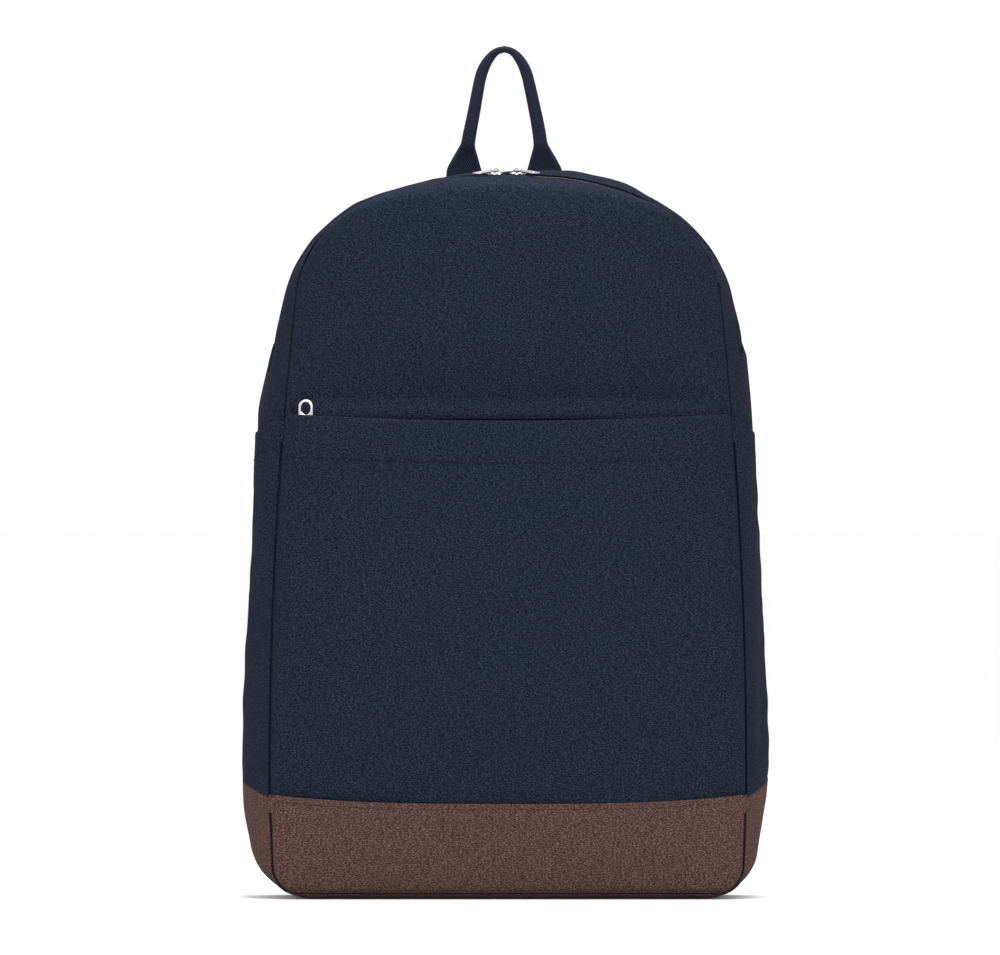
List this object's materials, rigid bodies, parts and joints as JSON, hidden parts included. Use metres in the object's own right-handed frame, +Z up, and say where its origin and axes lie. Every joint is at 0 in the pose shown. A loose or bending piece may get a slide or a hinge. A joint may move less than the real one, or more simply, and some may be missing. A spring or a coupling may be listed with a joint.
{
  "type": "school backpack",
  "caption": "Arch-top canvas school backpack with a two-way main zipper, zipped front pocket, side slip pockets, haul loop and padded shoulder straps.",
  "frame": {"origin": "centre of the bottom of the bounding box, on the surface that the bag stands on", "axes": "+Z up, the front pocket faces -Y, the shoulder straps are on +Y"},
  "size_m": [0.3116, 0.1522, 0.5115],
  "materials": {
    "navy_canvas": "woven matte",
    "brown_base": "brushed matte",
    "webbing": "ribbed weave",
    "zip_black": "satin",
    "zip_metal": "satin nickel",
    "buckle": "fine grain",
    "board": "plain",
    "lining": "plain weave",
    "foam": "closed-cell foam"
  },
  "bodies": {
    "bag": {"pocket_back_panel": "navy_canvas", "pocket_panel": "navy_canvas", "base_front_panel": "brown_base", "side_gusset_left": "navy_canvas", "side_gusset_right": "navy_canvas", "base_gusset": "brown_base", "base_board": "board", "back_panel": "navy_canvas", "back_pad_foam": "foam", "back_lining": "lining", "laptop_sleeve": "lining", "sleeve_binding": "brown_base", "back_seam_binding": "lining", "side_pocket_left": "navy_canvas", "side_pocket_right": "navy_canvas", "zip_strip_back": "navy_canvas", "main_tape_back": "zip_black", "main_coil_back": "zip_black", "zip_end_tabs": "navy_canvas", "pocket_tape": "zip_black", "pocket_coil": "zip_black", "strap_yoke": "webbing", "anchor_tab_left": "navy_canvas", "anchor_tab_right": "navy_canvas"},
    "front_flap": {"flap_panel": "navy_canvas", "zip_strip_front": "navy_canvas", "flap_seam_binding": "lining", "main_tape_front": "zip_black", "main_coil_front": "zip_black"},
    "main_slider_left": {"main_slider_left": "zip_metal"},
    "main_pull_left": {"main_pull_left": "zip_metal"},
    "main_slider_right": {"main_slider_right": "zip_metal"},
    "main_pull_right": {"main_pull_right": "zip_metal"},
    "pocket_slider": {"pocket_slider": "zip_metal"},
    "pocket_pull": {"pocket_pull": "zip_metal"},
    "haul_loop": {"haul_loop": "webbing"},
    "strap_left": {"strap_foam_left": "foam", "strap_cover_left": "navy_canvas", "strap_webbing_left": "webbing"},
    "adjuster_left": {"ladder_lock_left": "buckle", "lower_webbing_left": "webbing"},
    "strap_right": {"strap_foam_right": "foam", "strap_cover_right": "navy_canvas", "strap_webbing_right": "webbing"},
    "adjuster_right": {"ladder_lock_right": "buckle", "lower_webbing_right": "webbing"}
  },
  "joints": [
    {"name": "front_flap", "type": "hinge", "parent": "bag", "child": "front_flap", "pos_m": [0, -0.05328, 0.302], "axis": [1, 0, 0], "range_deg": [0, 80]},
    {"name": "main_slider_left", "type": "hinge", "parent": "bag", "child": "main_slider_left", "pos_m": [0, -0.012, 0.2068], "axis": [0, -1, 0], "range_deg": [0, 17]},
    {"name": "main_pull_left", "type": "hinge", "parent": "main_slider_left", "child": "main_pull_left", "pos_m": [-0.00817, -0.012, 0.43695], "axis": [-0.6424, 0.766, -0.0228], "range_deg": [0, 92]},
    {"name": "main_slider_right", "type": "hinge", "parent": "bag", "child": "main_slider_right", "pos_m": [0, -0.012, 0.2068], "axis": [0, 1, 0], "range_deg": [0, 17]},
    {"name": "main_pull_right", "type": "hinge", "parent": "main_slider_right", "child": "main_pull_right", "pos_m": [0.00613, -0.012, 0.43702], "axis": [-0.6426, -0.766, 0.0171], "range_deg": [0, 92]},
    {"name": "pocket_slider", "type": "slide", "parent": "bag", "child": "pocket_slider", "axis": [1, 0, 0], "range_m": [0, 0.242]},
    {"name": "pocket_pull", "type": "hinge", "parent": "pocket_slider", "child": "pocket_pull", "pos_m": [-0.121, -0.0607, 0.283], "axis": [1, 0, 0], "range_deg": [0, 8]},
    {"name": "haul_loop", "type": "hinge", "parent": "bag", "child": "haul_loop", "pos_m": [-0.002, 0.0412, 0.4284], "axis": [1, 0, 0], "range_deg": [-60, 35], "stiffness_Nm_per_rad": 0.03},
    {"name": "strap_left", "type": "hinge", "parent": "bag", "child": "strap_left", "pos_m": [-0.038, 0.045, 0.4], "axis": [1, 0, 0], "range_deg": [0, 15]},
    {"name": "adjuster_left", "type": "hinge", "parent": "strap_left", "child": "adjuster_left", "pos_m": [-0.1015, 0.0545, 0.1465], "axis": [1, 0, 0], "range_deg": [0, 25]},
    {"name": "strap_right", "type": "hinge", "parent": "bag", "child": "strap_right", "pos_m": [0.038, 0.045, 0.4], "axis": [1, 0, 0], "range_deg": [0, 15]},
    {"name": "adjuster_right", "type": "hinge", "parent": "strap_right", "child": "adjuster_right", "pos_m": [0.1015, 0.0545, 0.1465], "axis": [1, 0, 0], "range_deg": [0, 25]}
  ]
}
